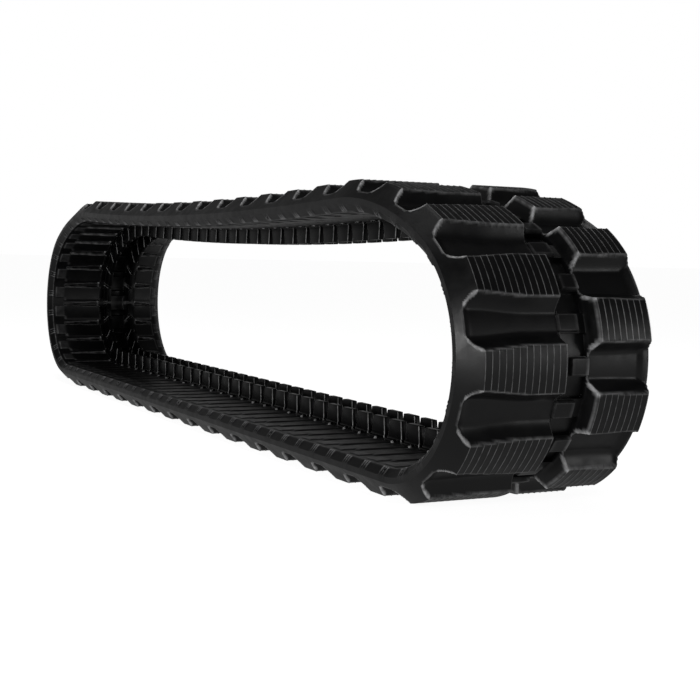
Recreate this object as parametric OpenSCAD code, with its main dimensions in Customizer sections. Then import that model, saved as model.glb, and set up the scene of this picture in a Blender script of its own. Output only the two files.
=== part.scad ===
// Endless rubber track for a compact excavator, standing free on its lower run.
// The belt is laid out along its steel cord line: s runs along that line, t is
// the height above it towards the tread (negative towards the inside).

/* [Belt] */
// Pitch from one core to the next
pitch = 72.5; // [60:0.5:80]
// Number of cores round the track
core_count = 80; // [76:2:84]
// Overall width of the belt
belt_w = 400; // [360:5:440]
// Distance of the sprocket windows from the middle of the belt
window_offset = 40; // [0:1:45]
// Rubber from the cord line to the roller path
inner_t = 22; // [18:0.5:25]
// Rubber from the cord line to the tread valleys
outer_t = 18; // [14:0.5:22]

/* [Free standing shape] */
// Radius of the cord line at the foot of each end
end_r = 232; // [225:1:245]
// Radius of the cord line at the top of each end
shoulder_r = 620; // [400:10:800]
// Angle above the middle of the end where the shoulder radius starts
shoulder_start = 61; // [50:1:70]
// Sag of the top run in its middle
top_sag = 21; // [5:1:40]
// Distance of a core below the foremost point of the end
core_phase = 14; // [0:1:36]

/* [Tread] */
// Height of a lug above the valley
lug_h = 27; // [20:1:32]
// Length of a lug's top along the belt
lug_top = 62; // [50:1:68]
// Length of a lug's foot along the belt
lug_foot = 86; // [74:1:92]
// Gap between a lug's foot and the outer edge of the belt, wide side
lug_edge_left = 10; // [4:1:20]
// Slope of a lug's outer flank, in width, wide side
lug_flank_left = 24; // [10:1:30]
// Gap between a lug's foot and the outer edge of the belt, narrow side
lug_edge_right = 3; // [2:1:12]
// Slope of a lug's outer flank, in width, narrow side
lug_flank_right = 6; // [4:1:20]
// Gap between a lug's inner end and the middle of the windows
lug_inner = 36; // [32:1:44]

/* [Windows and cores] */
// Half width of a sprocket window
window_hw = 28; // [24:1:30]
// Half length of the bridge pad between two windows
pad_hl = 17; // [15:1:20]
// Thickness of the rubber web that closes each window on the tread side
web_t = 3; // [2:0.5:6]
// Reach of a core wing from the middle of the windows
wing_reach = 112; // [90:1:118]
// Half length of a core wing along the belt
wing_hl = 15; // [12:1:18]
// Thickness of a core wing
wing_t = 8; // [6:0.5:9]
// Outer face of a guide horn, from the middle of the windows
horn_out = 46; // [44:1:50]
// Width of a guide horn at its foot
horn_w = 16; // [12:1:18]
// Height of a guide horn above the roller path
horn_h = 40; // [34:1:42]
// Half length of a guide horn at its foot
horn_foot = 29; // [26:1:30]
// Half length of a guide horn at its tip
horn_tip = 23; // [18:1:23]

/* [Cords] */
// Thickness of the steel cord ply
cord_t = 3; // [2:0.5:4]
// Rubber beside the cord ply at each edge
cord_margin = 12; // [8:1:20]

/* [Flexing] */
// Cores in each section of an end
section_cores = 2; // [2:1:2]
// Sections in each end
end_sections = 5; // [5:1:5]
// Relief on each side of a flex line, as an angle
relief_angle = 4.5; // [4.5:0.1:6]

/* [Hidden] */
clear = 0.15;
seam = 0.2;
embed = 2;
beyond = 9;
web_low = 2;
wing_low = 4;
bridge_inset = 3;
horn_low = 6;
horn_lean = 3;
pad_low = outer_t - 3;
lug_t = outer_t + lug_h;
step = 7.5;

belt_left = -belt_w / 2;
belt_right = belt_w / 2;
window_y = window_offset;
left_in = window_y - window_hw;
right_in = window_y + window_hw;

// Free standing shape: h is half of the flat part of the bottom run, sag_a is
// the angle at which the top run leaves the shoulder
half_len = core_count * pitch / 2;
base_z = lug_t;
function top_half(h, a) = h + (end_r - shoulder_r) * cos(shoulder_start)
    - shoulder_r * sin(a);
function arc_len(r, deg) = r * deg * PI / 180;
function top_len(u, a) = u * (1 + pow(tan(a), 2) / 6);
function used_len(h, a) = h + arc_len(end_r, 90 + shoulder_start)
    + arc_len(shoulder_r, 90 + a - shoulder_start) + top_len(top_half(h, a), a);
function settle(h, a, n) = n == 0 ? [h, a]
    : settle(h + (half_len - used_len(h, a)) / 2, atan(2 * top_sag / top_half(h, a)), n - 1);
shape = settle(half_len / 2 - 150, 2, 24);
run_h = shape[0];
sag_a = shape[1];
top_h = top_half(run_h, sag_a);
s_foot = run_h;
s_shoulder = s_foot + arc_len(end_r, 90 + shoulder_start);
s_top = s_shoulder + arc_len(shoulder_r, 90 + sag_a - shoulder_start);
end_z = base_z + end_r;
shoulder_x = run_h + (end_r - shoulder_r) * cos(shoulder_start);
shoulder_z = end_z + (end_r - shoulder_r) * sin(shoulder_start);
top_z = shoulder_z + shoulder_r * cos(sag_a);

// Half of the loop, from the middle of the bottom run (w = 0) over the front
// end to the middle of the top run: [x, z, angle of travel]
function sag_slope(u) = 2 * top_sag * u / (top_h * top_h);
function half_path(w) =
    w <= s_foot ? [w, base_z, 0]
    : w <= s_shoulder ? let (a = (w - s_foot) / end_r * 180 / PI)
        [run_h + end_r * sin(a), end_z - end_r * cos(a), a]
    : w <= s_top
        ? let (a = 90 + shoulder_start + (w - s_shoulder) / shoulder_r * 180 / PI)
            [shoulder_x + shoulder_r * sin(a), shoulder_z - shoulder_r * cos(a), a]
    : let (u = (half_len - w) / (half_len - s_top) * top_h)
        [u, top_z - top_sag * (1 - u * u / (top_h * top_h)), 180 + atan(sag_slope(u))];
function wrap(s) = s - floor((s + half_len) / (2 * half_len)) * 2 * half_len;
function path(s) = let (w = wrap(s)) w >= 0 ? half_path(w)
    : let (p = half_path(-w)) [-p[0], p[1], -p[2]];
function at(s, t) = let (p = path(s)) [p[0] + t * sin(p[2]), p[1] - t * cos(p[2])];

// Cores are numbered from the foot of the front end round to the bottom run
function core_s(k) = half_len / 2 - core_phase + k * pitch;
function relief(t) = clear + abs(t) * tan(relief_angle);
function is_left(k) = k % 2 == 0;

// Lengths at which a layer's outline turns: a straight stretch has none inside it
function turn_of(s0, s1) = let (turn = abs(path(s1)[2] - path(s0)[2])) min(turn, 360 - turn);
function facets(s0, s1) = 2 * max(ceil(turn_of(s0, s1) / step), round((s1 - s0) / pitch));
function bend_stops(s0, s1, n) = [for (i = [1:n - 1])
    let (s = s0 + (s1 - s0) * i / n) if (abs(wrap(s)) > s_foot) s];
front_foot = 2 * half_len + s_foot;
function stops(s0, s1) = let (inner = bend_stops(s0, s1, facets(s0, s1)))
    concat([s0], [for (s = inner) if (s < front_foot) s],
        front_foot > s0 && front_foot < s1 ? [front_foot] : [],
        [for (s = inner) if (s > front_foot) s], [s1]);

// Side view of a layer's face between two stops of the belt. Each end is
// relieved where it meets a flex line.
function outline_at(v, t) = let (g = relief(t), last = len(v) - 1)
    [for (i = [0:last]) at(i == 0 ? v[i] + g : i == last ? v[i] - g : v[i], t)];
function reversed(v) = [for (i = [len(v) - 1:-1:0]) v[i]];

module across(y0, y1) {
    translate([0, y1, 0])
        rotate([90, 0, 0])
            linear_extrude(y1 - y0)
                children();
}

module layer(cores, t0, t1, y0, y1) {
    v = stops(core_s(cores[0]) - pitch / 2, core_s(cores[1]) + pitch / 2);
    across(y0, y1)
        polygon(concat(outline_at(v, t0), reversed(outline_at(v, t1))));
}

// Frame of a core: X along the belt, Z towards the inside of the track
module at_core(k) {
    p = path(core_s(k));
    translate([p[0], 0, p[1]])
        rotate([0, -p[2], 0])
            children();
}

module core_wings() {
    translate([-wing_hl, window_y - wing_reach, wing_low])
        cube([2 * wing_hl, 2 * wing_reach, wing_t]);
}

module core_bridge() {
    half = pad_hl - bridge_inset;
    translate([-half, left_in + seam, 0])
        cube([2 * half, 2 * (window_hw - seam), wing_low + wing_t]);
}

module guide_horn(side) {
    tip_z = inner_t + horn_h;
    mid = horn_out - horn_w / 2;
    middle = window_y + side * mid;
    intersection() {
        across(middle - horn_w / 2, middle + horn_w / 2)
            polygon([[-horn_foot, horn_low], [horn_foot, horn_low], [horn_foot, inner_t],
                [horn_tip, tip_z], [-horn_tip, tip_z], [-horn_foot, inner_t]]);
        translate([-horn_foot - 1, 0, 0])
            rotate([90, 0, 90])
                linear_extrude(2 * horn_foot + 2)
                    translate([middle, 0])
                        polygon([[-horn_w / 2, horn_low - 1], [horn_w / 2, horn_low - 1],
                            [horn_w / 2, inner_t], [horn_w / 2 - horn_lean, tip_z],
                            [-horn_w / 2 + horn_lean, tip_z], [-horn_w / 2, inner_t]]);
    }
}

module core() {
    core_wings();
    core_bridge();
    guide_horn(-1);
    guide_horn(1);
}

// Bridge pads and the thin web between them, as one strip down the windows
function core_point(k, x, t) = let (p = path(core_s(k)))
    [p[0] + x * cos(p[2]) + t * sin(p[2]), p[1] + x * sin(p[2]) - t * cos(p[2])];
function stepped(cores, web, pad) = [for (k = [cores[0]:cores[1]]) each [
    core_point(k, -pad_hl, web), core_point(k, -pad_hl, pad),
    core_point(k, pad_hl, pad), core_point(k, pad_hl, web)]];
function web_face(cores, web, pad) = concat(
    [at(core_s(cores[0]) - pitch / 2 + relief(web), web)], stepped(cores, web, pad),
    [at(core_s(cores[1]) + pitch / 2 - relief(web), web)]);

module window_strip(cores) {
    across(left_in + seam, right_in - seam)
        polygon(concat(web_face(cores, web_low, 0),
            reversed(web_face(cores, web_low + web_t, pad_low))));
}

// Two ends of a lug's outline, with a third point between them where the belt bends
function spread(s0, s1, t) = turn_of(s0, s1) > 1 ? [at(s0, t), at((s0 + s1) / 2, t), at(s1, t)]
    : [at(s0, t), at(s1, t)];

// Section across a lug, open to the side away from its flank
function flank(y, slope, far) = [[y - slope / 3, lug_h / 3 - outer_t],
    [y + slope * 5 / 3, -lug_h * 5 / 3 - outer_t], [far, -lug_h * 5 / 3 - outer_t],
    [far, lug_h / 3 - outer_t]];

// One lug stands over each core, left and right in turn. Its ends slope along
// the belt, and its outer flank slopes across it.
module lug(k, cores) {
    s = core_s(k);
    s0 = core_s(cores[0]) - pitch / 2 + relief(lug_t);
    s1 = core_s(cores[1]) + pitch / 2 - relief(lug_t);
    top0 = max(s - lug_top / 2, s0);
    top1 = min(s + lug_top / 2, s1);
    rise = (lug_h + embed) / lug_h;
    foot0 = top0 - rise * (top0 - max(s - lug_foot / 2, s0));
    foot1 = top1 + rise * (min(s + lug_foot / 2, s1) - top1);
    y0 = is_left(k) ? belt_left + lug_edge_left : window_y + lug_inner;
    y1 = is_left(k) ? window_y - lug_inner : belt_right - lug_edge_right;
    intersection() {
        across(is_left(k) ? y0 - beyond : y0, is_left(k) ? y1 : y1 + beyond)
            polygon(concat(spread(foot0, foot1, outer_t - embed),
                reversed(spread(top0, top1, lug_t))));
        at_core(k)
            translate([-lug_foot, 0, 0])
                rotate([90, 0, 90])
                    linear_extrude(2 * lug_foot)
                        polygon(is_left(k) ? flank(y0, lug_flank_left, y1 + beyond)
                            : flank(y1, -lug_flank_right, y0 - beyond));
    }
}

module tread(cores) {
    color("#17181a") {
        layer(cores, cord_t / 2, outer_t, belt_left, left_in);
        layer(cores, cord_t / 2, outer_t, right_in, belt_right);
        window_strip(cores);
        for (k = [cores[0]:cores[1]])
            lug(k, cores);
    }
}

module carcass(cores) {
    color("#1f2022")
        difference() {
            union() {
                layer(cores, -inner_t, -cord_t / 2, belt_left, left_in);
                layer(cores, -inner_t, -cord_t / 2, right_in, belt_right);
                edge_strips(cores);
            }
            for (k = [cores[0]:cores[1]])
                at_core(k) core();
        }
}

// Rubber beside the cord ply, which closes it in at the belt's edges
module edge_strips(cores) {
    layer(cores, -cord_t / 2, cord_t / 2, belt_left, belt_left + cord_margin);
    layer(cores, -cord_t / 2, cord_t / 2, left_in - cord_margin, left_in);
    layer(cores, -cord_t / 2, cord_t / 2, right_in, right_in + cord_margin);
    layer(cores, -cord_t / 2, cord_t / 2, belt_right - cord_margin, belt_right);
}

module cords(cores) {
    color("#8a7a55") {
        layer(cores, -cord_t / 2, cord_t / 2, belt_left + cord_margin, left_in - cord_margin);
        layer(cores, -cord_t / 2, cord_t / 2, right_in + cord_margin, belt_right - cord_margin);
    }
}

module cores(cores) {
    color("#3a3b3d")
        for (k = [cores[0]:cores[1]])
            at_core(k) core();
}

// Sections of the belt, each [name, first core, last core]
first_core = -4;
end_cores = end_sections * section_cores;
run_cores = core_count / 2 - end_cores;
half_run = ceil(run_cores / 2);
function end_parts(name, start) = [for (i = [0:end_sections - 1])
    [str(name, i + 1), start + section_cores * i, start + section_cores * (i + 1) - 1]];
top_start = first_core + end_cores;
rear_start = top_start + run_cores;
SECTIONS = concat(
    end_parts("front_bend_", first_core),
    [["top_run_front", top_start, top_start + half_run - 1],
     ["top_run_rear", top_start + half_run, rear_start - 1]],
    end_parts("rear_bend_", rear_start),
    [["bottom_run", rear_start + end_cores, rear_start + end_cores + run_cores - 1]]);
KINDS = ["tread", "carcass", "cores", "cords"];

module piece(kind, span) {
    if (kind == "tread") tread(span);
    if (kind == "carcass") carcass(span);
    if (kind == "cores") cores(span);
    if (kind == "cords") cords(span);
}

for (part = SECTIONS)
    for (kind = KINDS)
        piece(kind, [part[1], part[2]]);
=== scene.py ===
"""Looks of the rubber track: one moulded belt, cut into pieces at its flex lines, and
the steel cores whose guide horns stand inside it.

Shapes are worked out in millimetres along the belt (s or p), across it (y) and out
from its cords (t), and turned into metres where points are placed.
"""
import math

import bmesh
import bpy
import numpy as np
from mathutils import Matrix, Vector


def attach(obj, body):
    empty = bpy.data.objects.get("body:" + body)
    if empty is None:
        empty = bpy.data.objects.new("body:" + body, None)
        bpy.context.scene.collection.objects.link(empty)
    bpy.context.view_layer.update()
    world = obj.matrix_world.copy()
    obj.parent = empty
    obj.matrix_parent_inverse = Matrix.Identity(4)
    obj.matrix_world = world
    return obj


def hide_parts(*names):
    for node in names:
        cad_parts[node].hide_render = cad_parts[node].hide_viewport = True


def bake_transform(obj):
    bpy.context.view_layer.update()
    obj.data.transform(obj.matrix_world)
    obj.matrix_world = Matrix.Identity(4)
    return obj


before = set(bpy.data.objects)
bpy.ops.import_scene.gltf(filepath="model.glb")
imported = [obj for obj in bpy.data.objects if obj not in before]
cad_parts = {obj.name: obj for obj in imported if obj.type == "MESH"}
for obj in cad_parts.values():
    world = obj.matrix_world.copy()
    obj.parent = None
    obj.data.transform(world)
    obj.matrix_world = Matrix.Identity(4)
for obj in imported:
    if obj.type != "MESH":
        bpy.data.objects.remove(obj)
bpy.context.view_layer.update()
MM = 0.001                 # metres in one millimetre

# ---------------------------------------------------------------- belt layout
PITCH, CORES = 72.5, 80
HALF = CORES * PITCH / 2   # half the length of the loop
WINDOW_Y = 40.0            # middle of the sprocket windows, from the middle of the belt
INNER_T = 22.0             # cords to the roller path
OUTER_T, LUG_H = 18.0, 27.0
TOP_T = OUTER_T + LUG_H    # cords to the top of a lug
END_R, SHOULDER_R = 232.0, 620.0
QUARTER = math.pi / 2
SHOULDER_AT = math.radians(61)   # where the shoulder starts, above the middle of the end bend
SAG = 21.0                 # drop of the top run at its middle
PHASE = 14.0               # how far core 0 is from the middle of the front half

# Free standing shape: solved for the flat half length and the angle where the sag starts
flat, sag_angle = HALF - 150, math.radians(2)
for _ in range(40):
    top_half = flat + (END_R - SHOULDER_R) * math.cos(SHOULDER_AT) - SHOULDER_R * math.sin(sag_angle)
    used = (flat + END_R * (QUARTER + SHOULDER_AT)
            + SHOULDER_R * (QUARTER + sag_angle - SHOULDER_AT)
            + top_half * (1 + math.tan(sag_angle) ** 2 / 6))
    flat += (HALF - used) / 2
    sag_angle = math.atan(2 * SAG / top_half)
S_SHOULDER = flat + END_R * (QUARTER + SHOULDER_AT)
S_TOP = S_SHOULDER + SHOULDER_R * (QUARTER + sag_angle - SHOULDER_AT)
END_Z = TOP_T + END_R
SHOULDER_X = flat + (END_R - SHOULDER_R) * math.cos(SHOULDER_AT)
SHOULDER_Z = END_Z + (END_R - SHOULDER_R) * math.sin(SHOULDER_AT)
SAG_Z = SHOULDER_Z + SHOULDER_R * math.cos(sag_angle)


def path(s):
    """Place and direction of the cord line, s along it from the middle of the flat run: x, z, angle."""
    s = (np.asarray(s, float) + HALF) % (2 * HALF) - HALF
    side, w = np.where(s < 0, -1.0, 1.0), np.abs(s)
    a1 = (w - flat) / END_R
    a2 = QUARTER + SHOULDER_AT + (w - S_SHOULDER) / SHOULDER_R
    u = (HALF - w) / (HALF - S_TOP) * top_half
    on = [w <= flat, w <= S_SHOULDER, w <= S_TOP]
    x = np.select(on, [w, flat + END_R * np.sin(a1), SHOULDER_X + SHOULDER_R * np.sin(a2)], u)
    z = np.select(on, [0 * w + TOP_T, END_Z - END_R * np.cos(a1), SHOULDER_Z - SHOULDER_R * np.cos(a2)],
                  SAG_Z - SAG * (1 - (u / top_half) ** 2))
    a = np.select(on, [0 * w, a1, a2], math.pi + np.arctan(2 * SAG * u / top_half ** 2))
    return side * x, z, side * a


def core_s(k):
    """Where core k is along the cord line."""
    return HALF / 2 - PHASE + k * PITCH


def place(s, y, t):
    """Points of the belt in the row frame, from s along it, y across, t out from the cords."""
    x, z, a = path(s)
    return np.stack([x + t * np.sin(a), y + 0 * x, z - t * np.cos(a)], -1) * MM


# ------------------------------------------------------------ shape functions
def ramp(x, a, b):
    """From 0 at a to 1 at b, straight."""
    return np.clip((x - a) / (b - a), 0, 1)


def smooth(x, a, b):
    """From 0 at a to 1 at b, without corners."""
    t = ramp(x, a, b)
    return t * t * (3 - 2 * t)


def between(x, a, b, c, d):
    """Rises from 0 at a to 1 at b, and falls from 1 at c to 0 at d."""
    return smooth(x, a, b) * smooth(-x, -d, -c)


def soft_min(a, b, r):
    """The smaller of two heights, with the corner between them rounded by r."""
    h = np.clip(0.5 + (b - a) / (2 * r), 0, 1)
    return b + (a - b) * h - r * h * (1 - h)


def soft_max(a, b, r):
    return -soft_min(-a, -b, r)


def ridge(x, half, height):
    """A ridge of triangular section along x = 0."""
    return height * np.clip(1 - np.abs(x) / half, 0, 1)


def from_core(p):
    """Distance along the belt from the nearest core, with its sign."""
    return (p + PITCH / 2) % PITCH - PITCH / 2


# Across the belt, measured from the middle of the windows. p runs along it from a core
# with a wide side lug, and the lugs of the narrow side stand one pitch further on.
LEFT, RIGHT = -240.0, 160.0                 # edges of the belt
LUG_L, LUG_R = (-206.0, -35.5), (39.0, 151.0)
LUG_R_FOOT = 29.5                           # inner foot of the narrow side lugs
CORNER = 0.6                                # rounding of the belt's edges
WINDOW = 28.0                               # half width of a window
WINDOW_P = (17.0, 55.5)                     # its ends along the belt
FLOOR_T = 15.5                              # floor of the valleys between lugs
EDGE_T_L, EDGE_T_R = 7.5, 12.0              # where the belt's side faces end
RIB_HALF, RIB_H = 1.0, 1.3                  # fine ribs on the lugs
RIBS_L = np.linspace(LUG_L[0] + 1.5, LUG_L[1] - 1.8, 13)
RIBS_R = np.linspace(LUG_R[0] + 1.8, LUG_R[1] - 1.5, 9)
LUG_BODY = TOP_T - RIB_H                    # top of a lug between its ribs
HALF_L, WIDER_L, WIDER_OVER = 28.5, 6.5, 105     # half a wide side lug's top, and how it widens
HALF_R, THINNER_R, THINNER_FROM = 32.5, 1.5, 60  # the same on the narrow side, which thins
LUG_END = 1.2                               # drop of a wide side lug's inner end
FLANK_L, FLANK_R = 24, 22                   # how far the flanks of a lug reach out
FLANK_LINE, FLANK_CURVE, FLANK_POWER = 0.02, 1.06, 1.8
LUG_ROUND = 0.7                             # rounding of the lugs' top edges
TUB_R, TUB_L_Y, TUB_R_Y = 17.0, -212, 143   # radius of a valley's corners, and where they begin
BOWL_L, BOWL_R = (211, 234), (140, 157)     # where a valley climbs to the belt's edge
BOWL_L_H, BOWL_R_H = 8, 15
BOWL_ROUND, BOWL_POWER = 1.5, 1.5
PAD_DROP, PAD_H, PAD_HALF = 2.5, 8.5, 14.5  # raised pads on the cores' bridges
PAD_EDGE = 1.2
PAD_REACH = (-40.0, -9.0, 9.0, 40.0)
LIP_AT, LIP_HALF, LIP_H = WINDOW + 1.6, 1.5, 1.8
PATH_T = INNER_T - 2.5                      # inner face between its bars
BAR_H, BAR_HALF, BAR_AT = 2.5, 26, 1        # roller path bars, one on each core
SLOT_DEPTH, SLOT_AT, SLOT_EDGE = 9.0, -30, 1.4
SLOT_HALF, SLOT_WIDER = 2.0, 4.5            # half a slot at the shoulder, and more at the horns
INNER_PAD_H, INNER_PAD_HALF, INNER_PAD_AT = 2.0, 19, -4
CHANNEL_T, CHANNEL_EDGE = 5.0, 4            # floor between the guide horns
CHAMFER_T, CHAMFER_SLOPE = 4, 1.15          # inner shoulders
RIB_GROUP = (-8.4, 0.0, 8.4)                # shoulder ribs, round each core
SHOULDER_RIB_HALF, SHOULDER_RIB_H = 2.6, 3.4
RIB_TIP = 13                                # where their tips are painted bright as a highlight, from the belt's edge
# Reach across the belt, left and right, as between() takes it
PATHS = (-190, -185, -64, -60), (60, 64, 124, 128)
SLOTS = (-190, -176, -70, -66), (66, 70, 114, 126)
INNER_PADS = (-219, -215, -190, -186), (130, 133, 144, 147)
SHOULDER_RIBS = (-239, -235, -226, -221), (141, 146, 155, 159)
CORNERS_L, CORNERS_R = (-232, -226, -203, -198), (28, 30, 40, 43)
SHADE_SHEET_T, SHADE_SHEET_LAP = (2.0, 5.0), 1.0            # thin dark sheet of painted shade that closes a window
SHADE_SHEET_DENT, DENT_HALF = 0.8, (17, 26)
SEAM = 0.05                                 # room at each side of the cut in the top run
EDGE_HIGHLIGHT, PAD_HIGHLIGHT_CUT = 0.32, 0.7             # how light the painted edge highlights are, of 1, and how much of them the pads lose
# painted highlights on the inner pads and on the tips of the shoulder ribs
INNER_PAD_HIGHLIGHT, TIP_HIGHLIGHT = 0.06, 0.6


def from_lug(p, at):
    """Distance along the belt from the nearest lug of a row, one of whose lugs stands at `at`."""
    return np.abs((p - at + PITCH) % (2 * PITCH) - PITCH)


def row(p, at, half, slope, past):
    """One row of lugs without its ribs. past is how far a point is beyond where the valley narrows."""
    corner = TUB_R - np.sqrt(TUB_R ** 2 - np.clip(past, 0, TUB_R) ** 2)
    rise = ramp(half + slope + corner - from_lug(p, at), 0, slope)
    flank = FLANK_LINE * rise + FLANK_CURVE * rise ** FLANK_POWER
    return soft_min(FLOOR_T + (LUG_BODY - FLOOR_T) * flank, LUG_BODY, LUG_ROUND)


def ribbed(h, y, ribs):
    """Fine ribs along the top of a lug."""
    return h + sum(ridge(y - r, RIB_HALF, RIB_H) for r in ribs) * ramp(h, LUG_BODY - 1.4, LUG_BODY - 0.5)


def wide_side(p, y):
    """Height of the tread on the wide side, where lugs widen towards the windows."""
    half = HALF_L + WIDER_L * smooth(y, LUG_L[0], LUG_L[0] + WIDER_OVER)
    h = row(p, 0, half, FLANK_L, TUB_L_Y - y)
    bowl = FLOOR_T + BOWL_L_H * ramp(-y, *BOWL_L) ** BOWL_POWER
    h = ribbed(soft_max(h, bowl, BOWL_ROUND), y, RIBS_L)
    h = soft_min(h, EDGE_T_L + (y - LEFT) * (LUG_BODY - EDGE_T_L) / (LUG_L[0] - LEFT), CORNER)
    return h - (h - FLOOR_T) * smooth(y, LUG_L[1], LUG_L[1] + LUG_END) * (h > FLOOR_T)


def narrow_side(p, y):
    """Height of the tread on the narrow side, where lugs slope down to the windows."""
    half = HALF_R - THINNER_R * smooth(y, THINNER_FROM, LUG_R[1])
    h = row(p, PITCH, half, FLANK_R, y - TUB_R_Y)
    bowl = FLOOR_T + BOWL_R_H * ramp(y, *BOWL_R) ** BOWL_POWER
    inner_end = FLOOR_T + (LUG_BODY - FLOOR_T) * ramp(y, LUG_R_FOOT, LUG_R[0])
    h = ribbed(soft_min(soft_max(h, bowl, BOWL_ROUND), inner_end, LUG_ROUND), y, RIBS_R)
    return soft_min(h, EDGE_T_R + (RIGHT - y) * (LUG_BODY - EDGE_T_R) / (RIGHT - LUG_R[1]), CORNER)


def middle_strip(p, y):
    """Height of the tread between the rows: a raised pad on each core's bridge, and a lip beside
    each window. A pad reaches towards the valley of its own side."""
    under_wide_lug = (p + PITCH / 2) % (2 * PITCH) < PITCH
    a = np.where(under_wide_lug, PAD_REACH[1], PAD_REACH[0])
    b = np.where(under_wide_lug, PAD_REACH[3], PAD_REACH[2])
    pad = ramp(PAD_HALF - np.abs(from_core(p)), -PAD_EDGE, PAD_EDGE)
    pad = pad * ramp(y, a - PAD_EDGE, a + PAD_EDGE) * ramp(b - y, -PAD_EDGE, PAD_EDGE)
    h = FLOOR_T - PAD_DROP + PAD_H * pad
    near = smooth(np.abs(y), WINDOW - 1, WINDOW + 9)
    lip = ridge(np.abs(y) - LIP_AT, LIP_HALF, LIP_H)
    return h + (FLOOR_T - h) * near * (1 - pad) + lip * (1 - pad)


def outer(p, y):
    """Height of the tread above the cords."""
    h = np.where(y < 0, wide_side(p, y), narrow_side(p, y))
    return np.where((y > LUG_L[1] + LUG_END) & (y < LUG_R_FOOT), middle_strip(p, y), h)


def lug_corners(p, y):
    """Where a lug's ends meet its flanks, where a painted highlight goes: 1 there."""
    u, v = from_lug(p, 0), from_lug(p, PITCH)
    wide = (y < LUG_L[0] + 2) * between(y, *CORNERS_L) * ramp(u, 27, 29) * ramp(49 - u, 0, 4)
    narrow = between(y, *CORNERS_R) * ramp(v, 28, 31) * ramp(46 - v, 0, 4)
    return wide + narrow


def inner_pads(p, y):
    """Where the raised pads beside the roller paths lie: 1 on them."""
    pad = smooth(INNER_PAD_HALF - np.abs(from_core(p) - INNER_PAD_AT), -1.5, 1.5)
    return pad * sum(between(y, *reach) for reach in INNER_PADS)


def inner(p, y):
    """Depth of the inner face below the cords."""
    u = from_core(p)
    # roller path bars, with slots beside them that widen towards the horns
    bar = smooth(BAR_HALF - np.abs(u - BAR_AT), -2.0, 2.0)
    near_horn = np.where(y < 0, ramp(y, -190, -90), ramp(-y, -126, -80))
    slot = smooth(SLOT_HALF + SLOT_WIDER * near_horn - np.abs(u - SLOT_AT), -SLOT_EDGE, SLOT_EDGE)
    t = PATH_T + INNER_PAD_H * inner_pads(p, y)
    for path_reach, slot_reach in zip(PATHS, SLOTS):
        t = t + BAR_H * bar * between(y, *path_reach) - SLOT_DEPTH * slot * between(y, *slot_reach)
    # shoulder chamfers with their groups of three ribs
    ribs = sum(ridge(u - c, SHOULDER_RIB_HALF, SHOULDER_RIB_H) for c in RIB_GROUP)
    for inwards, reach in zip((y - LEFT, RIGHT - y), SHOULDER_RIBS):
        t = soft_min(t, CHAMFER_T + CHAMFER_SLOPE * inwards + ribs * between(y, *reach), CORNER)
    # the channel between the guide horns
    return t - (t - CHANNEL_T) * smooth(WINDOW + 5 - np.abs(y), 0, CHANNEL_EDGE)


def outer_painted_highlight(p, y):
    """Painted highlight added to the edges: lug corners get a painted shine, and the raised pads lose some
    of their painted edge highlight.
    """
    turn = edges_of(outer(p, y), p[:, 0], y[0])
    pads = between(y, -34, -33, 24, 25)
    t = np.pad(turn, 1, mode="edge")
    wider = (t[:-2, 1:-1] + t[2:, 1:-1] + t[1:-1, :-2] + t[1:-1, 2:] + 2 * turn) / 6
    return np.clip(2.2 * wider, 0, 1) * lug_corners(p, y) - turn * pads * PAD_HIGHLIGHT_CUT * EDGE_HIGHLIGHT


def inner_painted_highlight(p, y):
    """Painted highlight added to the edges: the pads and the tips of the shoulder ribs are painted
    lighter, as if lit.
    """
    tips = sum(ridge(from_core(p) - c, SHOULDER_RIB_HALF, 0.9) for c in RIB_GROUP)
    ends = ridge(y - LEFT - RIB_TIP, 5, 1) + ridge(RIGHT - y - RIB_TIP, 5, 1)
    return INNER_PAD_HIGHLIGHT * inner_pads(p, y) + TIP_HIGHLIGHT * tips * ends


def shade_sheet_dent(p, y):
    """Shallow dish in the middle of the dark sheet of painted shade in a window."""
    u, v = (p % PITCH - PITCH / 2) / DENT_HALF[0], y / DENT_HALF[1]
    return SHADE_SHEET_DENT * np.clip(1 - u ** 2, 0, 1) * np.clip(1 - v ** 2, 0, 1)


def shade_sheet_low(p, y):
    return SHADE_SHEET_T[1] - shade_sheet_dent(p, y)


def shade_sheet_high(p, y):
    return SHADE_SHEET_T[0] + shade_sheet_dent(p, y)


# ------------------------------------------------------------------ the grids
def rib_lines(ribs):
    """Grid lines at the feet of fine ribs and beside their crests."""
    return np.concatenate([[r - RIB_HALF, r - 0.3, r + 0.3, r + RIB_HALF] for r in ribs])


def lines_across():
    """Grid lines as y, close together where the face turns."""
    return np.unique(np.round(np.concatenate([
        np.linspace(LEFT, LUG_L[0] - 2.2, 15), [LEFT + RIB_TIP],
        rib_lines(RIBS_L), (RIBS_L[1:] + RIBS_L[:-1]) / 2,
        [LUG_L[1], LUG_L[1] + LUG_END, LUG_L[1] + 4],
        [-WINDOW - 3.2, -WINDOW - 1.6, -WINDOW, -20, -10.2, -7.8, 0, 7.8, 10.2, 20, WINDOW],
        [LUG_R_FOOT, 31.2, 33.5, LUG_R[0] - 3, LUG_R[0] - 1.2],
        rib_lines(RIBS_R), (RIBS_R[1:] + RIBS_R[:-1]) / 2,
        [LUG_R[1] + 1.2, LUG_R[1] + 3, 155.5, 157, 158.5, RIGHT]]), 3))


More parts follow.
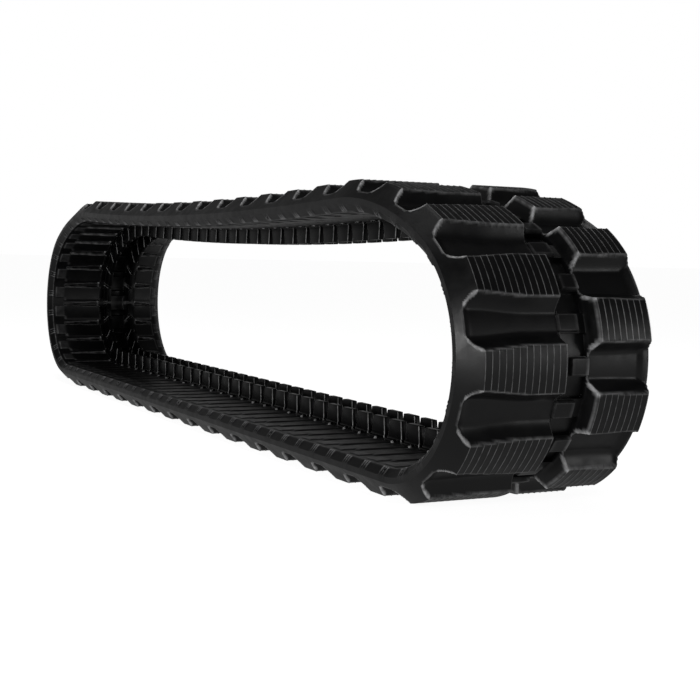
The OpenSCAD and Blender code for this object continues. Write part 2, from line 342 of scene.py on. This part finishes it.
def lines_along(first, last):
    """Grid lines as p, from core `first` to core `last`. Half a core is the middle of a window."""
    ribs = np.array([0, 2.6, 5.8, 8.4, 11, 13.3, 15.7])
    one = np.concatenate([ribs, np.linspace(*WINDOW_P, 17), PITCH - ribs[:0:-1]])
    grid = np.concatenate([one + i * PITCH for i in range(math.floor(first), math.ceil(last) + 1)])
    grid = grid[(grid > first * PITCH - 2 * SEAM) & (grid < last * PITCH + 2 * SEAM)]
    return np.clip(grid, first * PITCH, last * PITCH)


ACROSS = lines_across()
# A grid cell's four neighbours: where each lies, and the two corners of the wall towards it
SIDES = ((-1, 0, (0, 0), (0, 1)), (1, 0, (1, 1), (1, 0)), (0, -1, (1, 0), (0, 0)), (0, 1, (0, 1), (1, 1)))


def edges_of(height, p, y):
    """How sharply a face bulges out at each grid line: 0 on flats and in hollows, 1 on an edge."""
    turn = np.zeros_like(height)
    along = np.diff(height, axis=0) / np.diff(p)[:, None]
    across = np.diff(height, axis=1) / np.diff(y)
    turn[1:-1] += 0.6 * np.clip(along[:-1] - along[1:], 0, None)
    turn[:, 1:-1] += np.clip(across[:, :-1] - across[:, 1:], 0, None)
    return np.clip(1.3 * turn - 0.25, 0, 1)


def slab(p, y, top, low, solid, painted_shine=(None, None)):
    """Closed quads between two faces given on a grid, with walls round its solid cells.
    Returns its points, its quads and how much painted highlight each point gets."""
    P, Y = np.meshgrid(p, y, indexing="ij")
    heights = [top(P, Y), low(P, Y)]
    verts = np.concatenate([place(core_s(0) + P, Y + WINDOW_Y, t).reshape(-1, 3) for t in heights])
    painted_highlight = [edges_of(t * out, p, y) * EDGE_HIGHLIGHT + (0 if extra is None else extra(P, Y))
            for t, out, extra in zip(heights, (1, -1), painted_shine)]
    painted_highlight = np.clip(np.concatenate([w.ravel() for w in painted_highlight]), 0, 1)
    n, m = P.shape
    count = n * m
    i, j = np.nonzero(solid)
    a = i * m + j
    quads = np.stack([a, a + 1, a + m + 1, a + m], 1)
    faces = [quads[:, ::-1], quads + count]
    wide = np.pad(solid, 1)
    for di, dj, e0, e1 in SIDES:
        i, j = np.nonzero(solid & ~wide[1 + di:n + di, 1 + dj:m + dj])
        v0, v1 = (i + e0[0]) * m + j + e0[1], (i + e1[0]) * m + j + e1[1]
        faces.append(np.stack([v0, v1, v1 + count, v0 + count], 1))
    faces = np.concatenate(faces)
    used, faces = np.unique(faces, return_inverse=True)
    return verts[used], faces.reshape(-1, 4), painted_highlight[used]


def belt_mesh(name, first, last):
    """The belt from core `first` to core `last`: its body with the windows, and in each window a dark
    sheet of painted shade.
    """
    p, y = lines_along(first, last), ACROSS
    pc, yc = (p[1:] + p[:-1]) / 2 % PITCH, (y[1:] + y[:-1]) / 2
    window = ((pc > WINDOW_P[0]) & (pc < WINDOW_P[1]))[:, None] & (np.abs(yc) < WINDOW)[None, :]
    parts = [slab(p, y, outer, lambda P, Y: -inner(P, Y), ~window, (outer_painted_highlight, inner_painted_highlight))]
    shade_sheet_y = np.linspace(-WINDOW - SHADE_SHEET_LAP, WINDOW + SHADE_SHEET_LAP, 9)
    for k in range(math.floor(first), math.ceil(last)):
        start = max(k * PITCH + WINDOW_P[0] - SHADE_SHEET_LAP, first * PITCH)
        stop = min(k * PITCH + WINDOW_P[1] + SHADE_SHEET_LAP, last * PITCH)
        parts.append(slab(np.linspace(start, stop, 9), shade_sheet_y, shade_sheet_low, shade_sheet_high, np.ones((8, 8), bool)))
    return mesh_from(name, *joined(parts), 38)


def joined(parts):
    """Several pieces of (points, faces, painted highlight) as one."""
    verts, faces, painted_highlight = zip(*parts)
    starts = np.cumsum([0] + [len(v) for v in verts[:-1]])
    faces = [f + at for f, at in zip(faces, starts)]
    return np.concatenate(verts), np.concatenate(faces), np.concatenate(painted_highlight)


def mesh_from(name, verts, faces, painted_highlight, sharp):
    """A mesh of smooth faces, with edges sharper than `sharp` degrees kept sharp."""
    mesh = bpy.data.meshes.new(name)
    mesh.vertices.add(len(verts))
    mesh.vertices.foreach_set("co", verts.astype(np.float32).ravel())
    mesh.loops.add(faces.size)
    mesh.loops.foreach_set("vertex_index", faces.astype(np.int32).ravel())
    mesh.polygons.add(len(faces))
    mesh.polygons.foreach_set("loop_start", (np.arange(len(faces)) * faces.shape[1]).astype(np.int32))
    mesh.update(calc_edges=True)
    mesh.polygons.foreach_set("use_smooth", np.ones(len(faces), bool))
    mesh.set_sharp_from_angle(angle=math.radians(sharp))
    # each point's painted highlight, which the materials turn into near-white colour
    mesh.attributes.new("painted_highlight", "FLOAT", "POINT").data.foreach_set("value", painted_highlight.astype(np.float32))
    mesh.validate()
    obj = bpy.data.objects.new(name, mesh)
    bpy.context.scene.collection.objects.link(obj)
    return obj


# ------------------------------------------------------------ cores and horns
def rounded_block(half, y0, y1, z0, z1, narrower, thinner, r):
    """A block along x with edges rounded by r. At z1 its ends and sides are drawn in. Its upright
    edges carry a painted highlight."""
    bm = bmesh.new()
    rings = []
    for z, dx, dy in ((z0, 0, 0), (z1, narrower, thinner)):
        xs, ys = (-half + dx, half - dx), (y0 + dy, y1 - dy)
        rings.append([bm.verts.new((xs[i], ys[j], z)) for i, j in ((0, 0), (1, 0), (1, 1), (0, 1))])
    low, high = rings
    bm.faces.new(low[::-1])
    bm.faces.new(high)
    for i in range(4):
        j = (i + 1) % 4
        bm.faces.new((low[i], low[j], high[j], high[i]))
    bmesh.ops.bevel(bm, geom=list(bm.edges), offset=r, segments=3, profile=0.5, affect="EDGES")
    bmesh.ops.recalc_face_normals(bm, faces=bm.faces)
    bmesh.ops.triangulate(bm, faces=bm.faces)
    bm.normal_update()
    verts = np.array([tuple(v.co) for v in bm.verts])
    painted_highlight = np.array([1.0 * (min(abs(v.normal.x), abs(v.normal.y)) > 0.3) for v in bm.verts])
    tris = np.array([[v.index for v in f.verts] for f in bm.faces])
    bm.free()
    return verts, tris, painted_highlight


def dome(x, y, z, r, n=10):
    """A round knob, painted white all over as a highlight."""
    ring = np.linspace(0, 2 * math.pi, n, endpoint=False)
    rows = []
    for e in (-0.3, 0.2, 0.7, 1.15):
        wide, high = r * math.cos(e), np.full(n, z + r * math.sin(e))
        rows.append(np.stack([x + wide * np.cos(ring), y + wide * np.sin(ring), high], 1))
    verts = np.concatenate(rows + [[[x, y, z + r]], [[x, y, z - 0.5 * r]]])
    tris = []
    for k in range(3):
        for i in range(n):
            a, b = k * n + i, k * n + (i + 1) % n
            tris += [[a, b, b + n], [a, b + n, a + n]]
    tris += [[3 * n + i, 3 * n + (i + 1) % n, 4 * n] for i in range(n)]
    tris += [[(i + 1) % n, i, 4 * n + 1] for i in range(n)]
    return verts, np.array(tris), np.ones(len(verts))


HORN_H = 40.0              # guide horns above the roller path
HORN_Y, FOOT_Y, WING_Y = (46.0, 29.5), (50.0, 31.0), (64.0, 47.0)
SUNK = 8                   # where the horns and their feet start, inside the rubber


def core_shape():
    """What shows of one core, in its own frame: x along the belt, y across, z towards the inside."""
    parts = []
    for side in (-1, 1):
        horn, foot, wing = (sorted((side * a, side * b)) for a, b in (HORN_Y, FOOT_Y, WING_Y))
        parts.append(rounded_block(31, *horn, SUNK, INNER_T + HORN_H, 7.6, 1.2, 1.8))
        parts.append(rounded_block(33, *foot, SUNK, INNER_T + 3.5, 4, 3, 2.0))
        # a knob by each wing, painted as a highlight
        parts.append(dome(29.5, side * 68, INNER_T - 1.5, 3.6))
        parts.append(rounded_block(22, *wing, SUNK, INNER_T + 1.6, 3, 3, 1.5))
    parts.append(rounded_block(13.5, -31, 31, -6, 15.5, 3.5, 0, 2.5))      # bridge
    return joined(parts)


CORE = core_shape()


def cores_mesh(name, first, last):
    """The cores from core `first` to core `last`."""
    (x, y, z), faces, painted_highlight = CORE[0].T, CORE[1], CORE[2]
    parts = []
    for k in range(first, last + 1):
        at_x, at_z, a = path(core_s(k))
        cos, sin = np.cos(a), np.sin(a)
        placed = [at_x + x * cos - z * sin, y + WINDOW_Y, at_z + x * sin + z * cos]
        parts.append((np.stack(placed, 1) * MM, faces, painted_highlight))
    return mesh_from(name, *joined(parts), 32)


# ------------------------------------------------------------------ materials
GRAIN_DEPTH = 0.0004       # of the fine grain, in metres


def rubber(name, base, dust, edge, rough, grain, gloss):
    """Moulded black rubber or coated steel: fine grain, uneven gloss, dull patches of dust,
    and a near-white painted highlight where the mesh's highlight attribute marks it."""
    mat = bpy.data.materials.new(name)
    mat.use_nodes = True
    nt = mat.node_tree
    bsdf = nt.nodes["Principled BSDF"]
    coords = nt.nodes.new("ShaderNodeTexCoord").outputs["Object"]

    def noise(scale, detail=4.0, roughness=0.55):
        n = nt.nodes.new("ShaderNodeTexNoise")
        n.inputs["Scale"].default_value = scale
        n.inputs["Detail"].default_value = detail
        n.inputs["Roughness"].default_value = roughness
        nt.links.new(coords, n.inputs["Vector"])
        return n.outputs["Fac"]

    def spread(value, a, b, lo, hi):
        n = nt.nodes.new("ShaderNodeMapRange")
        for i, v in zip(("From Min", "From Max", "To Min", "To Max"), (a, b, lo, hi)):
            n.inputs[i].default_value = v
        nt.links.new(value, n.inputs["Value"])
        return n.outputs["Result"]

    broad, fine = noise(9.0), noise(700.0, 3.0, 0.6)
    dusty = nt.nodes.new("ShaderNodeMix")
    dusty.data_type = "RGBA"
    dusty.inputs["A"].default_value = (*base, 1)
    dusty.inputs["B"].default_value = (*dust, 1)
    nt.links.new(spread(broad, 0.42, 0.75, 0.0, 0.55), dusty.inputs["Factor"])
    # painted highlight: the near-white edge colour is mixed in where the mesh attribute says, broken up by
    # noise
    with_highlight = nt.nodes.new("ShaderNodeMix")
    with_highlight.data_type = "RGBA"
    with_highlight.inputs["B"].default_value = (*edge, 1)
    nt.links.new(dusty.outputs["Result"], with_highlight.inputs["A"])
    attribute = nt.nodes.new("ShaderNodeAttribute")
    attribute.attribute_name = "painted_highlight"
    painted_shine = nt.nodes.new("ShaderNodeMath")
    painted_shine.operation = "MULTIPLY"
    nt.links.new(attribute.outputs["Fac"], painted_shine.inputs[0])
    nt.links.new(spread(noise(60.0, 3.0), 0.35, 0.6, 0.35, 1.0), painted_shine.inputs[1])
    nt.links.new(painted_shine.outputs[0], with_highlight.inputs["Factor"])
    nt.links.new(with_highlight.outputs["Result"], bsdf.inputs["Base Color"])
    nt.links.new(spread(noise(38.0, 5.0), 0.3, 0.7, rough - 0.05, rough + 0.09), bsdf.inputs["Roughness"])
    bsdf.inputs["Specular IOR Level"].default_value = gloss
    bump = nt.nodes.new("ShaderNodeBump")
    bump.inputs["Strength"].default_value = grain
    bump.inputs["Distance"].default_value = GRAIN_DEPTH
    nt.links.new(fine, bump.inputs["Height"])
    nt.links.new(bump.outputs["Normal"], bsdf.inputs["Normal"])
    return mat


# edge is the colour of the painted highlights
TREAD = rubber("tread_rubber", base=(0.0035, 0.0035, 0.004), dust=(0.008, 0.008, 0.0085),
               edge=(0.86, 0.86, 0.87), rough=0.34, grain=0.2, gloss=0.5)
HORN = rubber("core_coating", base=(0.003, 0.003, 0.0035), dust=(0.006, 0.006, 0.0065),
              edge=(0.8, 0.8, 0.8), rough=0.28, grain=0.15, gloss=0.2)

# ------------------------------------------------------------- build the belt
# Each body with its first and last core, in order round the loop
SECTIONS = [("bottom_run", -34, -5),
            ("front_bend_1", -4, -3), ("front_bend_2", -2, -1), ("front_bend_3", 0, 1),
            ("front_bend_4", 2, 3), ("front_bend_5", 4, 5),
            ("top_run_front", 6, 20), ("top_run_rear", 21, 35),
            ("rear_bend_1", 36, 37), ("rear_bend_2", 38, 39), ("rear_bend_3", 40, 41),
            ("rear_bend_4", 42, 43), ("rear_bend_5", 44, 45)]
PIECE_CORES = 7            # about how many cores long the other pieces are
CUT = 0.5 - SEAM / PITCH   # from a core to the cut in the top run


def stands_for(obj, body, *kinds):
    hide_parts(*[f"{body}_{kind}" for kind in kinds])


def dress(obj, material):
    obj.data.materials.append(material)


# Joint pieces reach one core each side of a flex line
for (before, _, _), (body, first, _) in zip(SECTIONS[-1:] + SECTIONS[:-1], SECTIONS):
    if body == "top_run_rear":
        continue
    piece = belt_mesh(f"belt_flex_{before}_to_{body}", first - 1, first)
    x, z, a = path(core_s(first - 0.5))
    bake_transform(piece)
    dress(piece, TREAD)

# The rest of each section rides on its body
for body, first, last in SECTIONS:
    start = first - CUT * (body == "top_run_rear")
    stop = last + CUT * (body == "top_run_front")
    count = max(1, round((last - first) / PIECE_CORES))
    cuts = [start] + [round(start + (stop - start) * i / count) for i in range(1, count)] + [stop]
    for i in range(count):
        obj = belt_mesh(f"belt_{body}_{i + 1}", cuts[i], cuts[i + 1])
        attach(obj, body)
        dress(obj, TREAD)
        if i == 0:
            stands_for(obj, body, "tread", "carcass", "cords")
    obj = cores_mesh(f"guide_horns_{body}", first, last)
    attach(obj, body)
    dress(obj, HORN)
    stands_for(obj, body, "cores")

# ------------------------------------------------------------ stage and light
DOME, BACKDROP = 0.05, 0.22                  # world as light: everywhere, and low behind the track
BACKDROP_WAY = (-1.0, 0.05, 0)
FLOOR_SIZE = 60
FLOOR_SEEN, FLOOR_SEEN_GLOW = 0.80, 0.93     # floor as the camera sees it
FLOOR_LIGHT, FLOOR_LIGHT_GLOW = 0.10, 0.23   # floor as the track sees it


def area_light(name, at, aim, size, power):
    data = bpy.data.lights.new(name, "AREA")
    data.shape = "RECTANGLE"
    data.size, data.size_y = size
    data.energy = power
    obj = bpy.data.objects.new(name, data)
    bpy.context.scene.collection.objects.link(obj)
    obj.location = at
    obj.rotation_euler = (Vector(aim) - Vector(at)).to_track_quat("-Z", "Y").to_euler()


def studio_world():
    """White to look at. As light it is dim overhead, with a white backdrop low behind the track."""
    world = bpy.data.worlds.new("studio")
    world.use_nodes = True
    nt = world.node_tree
    back = nt.nodes["Background"]
    back.inputs["Color"].default_value = (1, 1, 1, 1)

    def math_node(operation, a, b):
        n = nt.nodes.new("ShaderNodeMath")
        n.operation = operation
        for socket, value in zip(n.inputs, (a, b)):
            if isinstance(value, (int, float)):
                socket.default_value = value
            else:
                nt.links.new(value, socket)
        return n.outputs[0]

    def fade(value, a, b):
        n = nt.nodes.new("ShaderNodeMapRange")
        n.interpolation_type = "SMOOTHSTEP"
        n.inputs["From Min"].default_value, n.inputs["From Max"].default_value = a, b
        nt.links.new(value, n.inputs["Value"])
        return n.outputs["Result"]

    direction = nt.nodes.new("ShaderNodeTexCoord").outputs["Generated"]
    split = nt.nodes.new("ShaderNodeSeparateXYZ")
    nt.links.new(direction, split.inputs[0])
    towards = nt.nodes.new("ShaderNodeVectorMath")
    towards.operation = "DOT_PRODUCT"
    nt.links.new(direction, towards.inputs[0])
    towards.inputs[1].default_value = BACKDROP_WAY
    low = math_node("SUBTRACT", 1, fade(split.outputs["Z"], 0.12, 0.5))
    backdrop = math_node("MULTIPLY", fade(towards.outputs["Value"], -0.1, 0.8), low)
    light = math_node("ADD", math_node("MULTIPLY", backdrop, BACKDROP), DOME)
    seen = nt.nodes.new("ShaderNodeLightPath").outputs["Is Camera Ray"]
    strength = nt.nodes.new("ShaderNodeMix")
    nt.links.new(seen, strength.inputs[0])
    nt.links.new(light, strength.inputs[2])
    strength.inputs[3].default_value = 1.0
    nt.links.new(strength.outputs[0], back.inputs["Strength"])
    bpy.context.scene.world = world


def studio_floor():
    """Pale floor with a soft shadow. As light on the track it is dim."""
    mesh = bpy.data.meshes.new("floor")
    corners = [(-1, -1), (1, -1), (1, 1), (-1, 1)]
    mesh.from_pydata([(x * FLOOR_SIZE, y * FLOOR_SIZE, 0) for x, y in corners], [], [(0, 1, 2, 3)])
    obj = bpy.data.objects.new("floor", mesh)
    bpy.context.scene.collection.objects.link(obj)
    mat = bpy.data.materials.new("floor")
    mat.use_nodes = True
    nt = mat.node_tree
    shader = nt.nodes["Principled BSDF"]
    shader.inputs["Roughness"].default_value = 0.9
    shader.inputs["Specular IOR Level"].default_value = 0.0
    shader.inputs["Emission Color"].default_value = (1, 1, 1, 1)
    seen = nt.nodes.new("ShaderNodeLightPath").outputs["Is Camera Ray"]
    shades = nt.nodes.new("ShaderNodeMix")
    shades.data_type = "RGBA"
    shades.inputs["A"].default_value = (FLOOR_LIGHT, FLOOR_LIGHT, FLOOR_LIGHT, 1)
    shades.inputs["B"].default_value = (FLOOR_SEEN, FLOOR_SEEN, FLOOR_SEEN, 1)
    nt.links.new(seen, shades.inputs["Factor"])
    nt.links.new(shades.outputs["Result"], shader.inputs["Base Color"])
    glow = nt.nodes.new("ShaderNodeMix")
    glow.inputs[2].default_value = FLOOR_LIGHT_GLOW
    glow.inputs[3].default_value = FLOOR_SEEN_GLOW
    nt.links.new(seen, glow.inputs[0])
    nt.links.new(glow.outputs[0], shader.inputs["Emission Strength"])
    mesh.materials.append(mat)


studio_world()
studio_floor()
bpy.context.scene.view_settings.view_transform = "Standard"
area_light("left_strip", (3.0, -2.9, 0.9), (1.0, -0.1, 0.3), (0.35, 1.2), 22)
area_light("right_box", (3.7, 2.2, 0.6), (0.6, 0.0, 0.2), (0.6, 1.0), 6)
area_light("overhead", (0.4, -0.6, 3.6), (0.2, 0, 0.3), (2.4, 1.0), 20)

# ------------------------------------------------------------------ the camera
CAMERA_AT = (3.1592, -1.3711, 0.4561)
YAW, DOWN, ROLL = math.radians(27.46), math.radians(-0.02), math.radians(1.37)
SENSOR, LENS = 36, 66.8777           # millimetres
SHIFT = (0.008857, -0.139286)        # of the frame, right and up, by its width

cam_data = bpy.data.cameras.new("camera")
cam = bpy.data.objects.new("camera", cam_data)
bpy.context.scene.collection.objects.link(cam)
bpy.context.scene.camera = cam
look = np.array([-math.cos(YAW) * math.cos(DOWN), math.sin(YAW) * math.cos(DOWN), -math.sin(DOWN)])
level = np.array([math.sin(YAW), math.cos(YAW), 0.0])
upright = np.cross(level, look)
right = math.cos(ROLL) * level + math.sin(ROLL) * upright
up = -math.sin(ROLL) * level + math.cos(ROLL) * upright
turned = np.stack([right, up, -look], 1).tolist()
cam.matrix_world = Matrix([(*turned[i], CAMERA_AT[i]) for i in range(3)] + [(0, 0, 0, 1)])
cam_data.sensor_width = SENSOR
cam_data.lens = LENS
cam_data.shift_x, cam_data.shift_y = SHIFT
cam_data.dof.use_dof = False
cam_data.clip_end = 100
